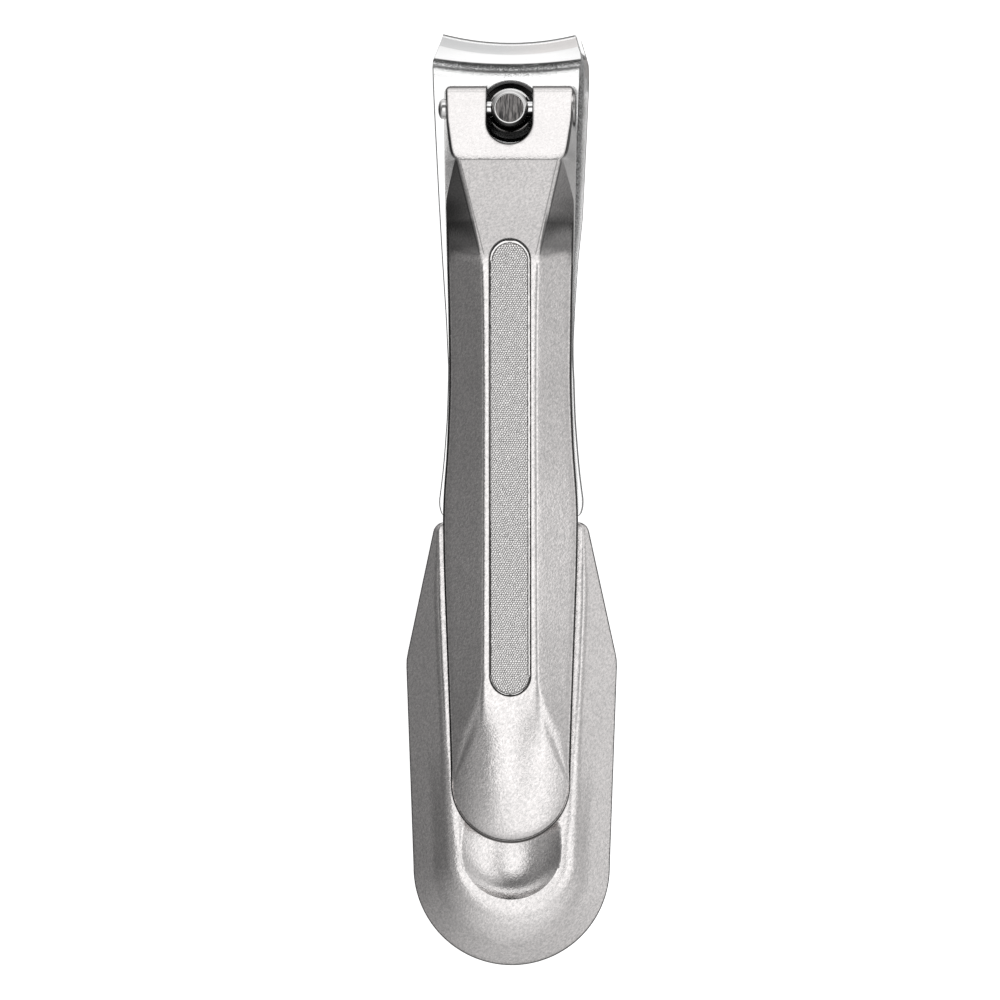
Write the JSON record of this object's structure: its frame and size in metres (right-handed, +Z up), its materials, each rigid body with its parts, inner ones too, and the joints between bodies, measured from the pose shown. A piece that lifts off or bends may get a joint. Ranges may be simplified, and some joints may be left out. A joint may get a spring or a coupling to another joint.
{
  "type": "nail clipper",
  "caption": "Nail clipper with curved jaws, folding cast lever on a swivelling post, let-in nail file and a wide cast grip with a finger scoop.",
  "frame": {"origin": "on the surface the clipper lies on, under the middle of its length and width", "axes": "+Y from the grip to the jaws, +Z up from the base to the lever, +X to the right seen from above with the jaws away"},
  "size_m": [0.0204, 0.09, 0.019],
  "materials": {
    "satin_zinc": "satin",
    "blade_steel": "polished",
    "post_steel": "satin",
    "pin_steel": "polished",
    "file_steel": "matte"
  },
  "bodies": {
    "grip": {"grip_top": "satin_zinc", "grip_bottom": "satin_zinc", "tang_pin_front": "pin_steel", "tang_pin_rear": "pin_steel", "grip_screw_left": "pin_steel", "grip_screw_right": "pin_steel", "grip_screw_rear": "pin_steel"},
    "lower_jaw": {"lower_blade": "blade_steel"},
    "upper_jaw": {"upper_blade": "blade_steel"},
    "post": {"pivot_post": "post_steel"},
    "lever": {"lever": "satin_zinc", "cross_pin": "pin_steel", "nail_file_plate": "file_steel"}
  },
  "joints": [
    {"name": "lower_jaw_close", "type": "hinge", "parent": "grip", "child": "lower_jaw", "pos_m": [0, -0.006, 0.00585], "axis": [1, 0, 0], "range_deg": [0, 1.3], "stiffness_Nm_per_rad": 12},
    {"name": "upper_jaw_close", "type": "hinge", "parent": "grip", "child": "upper_jaw", "pos_m": [0, -0.006, 0.00585], "axis": [-1, 0, 0], "range_deg": [0, 1.3], "stiffness_Nm_per_rad": 12},
    {"name": "post_turn", "type": "hinge", "parent": "lower_jaw", "child": "post", "pos_m": [0, 0.0373, 0.0007], "axis": [0, 0, 1], "continuous": true},
    {"name": "lever_lift", "type": "hinge", "parent": "post", "child": "lever", "pos_m": [0, 0.0373, 0.01395], "axis": [-1, 0, 0], "range_deg": [0, 150]}
  ],
  "couplings": [
    {"joint": "upper_jaw_close", "follows": "lower_jaw_close", "ratio": 1}
  ]
}
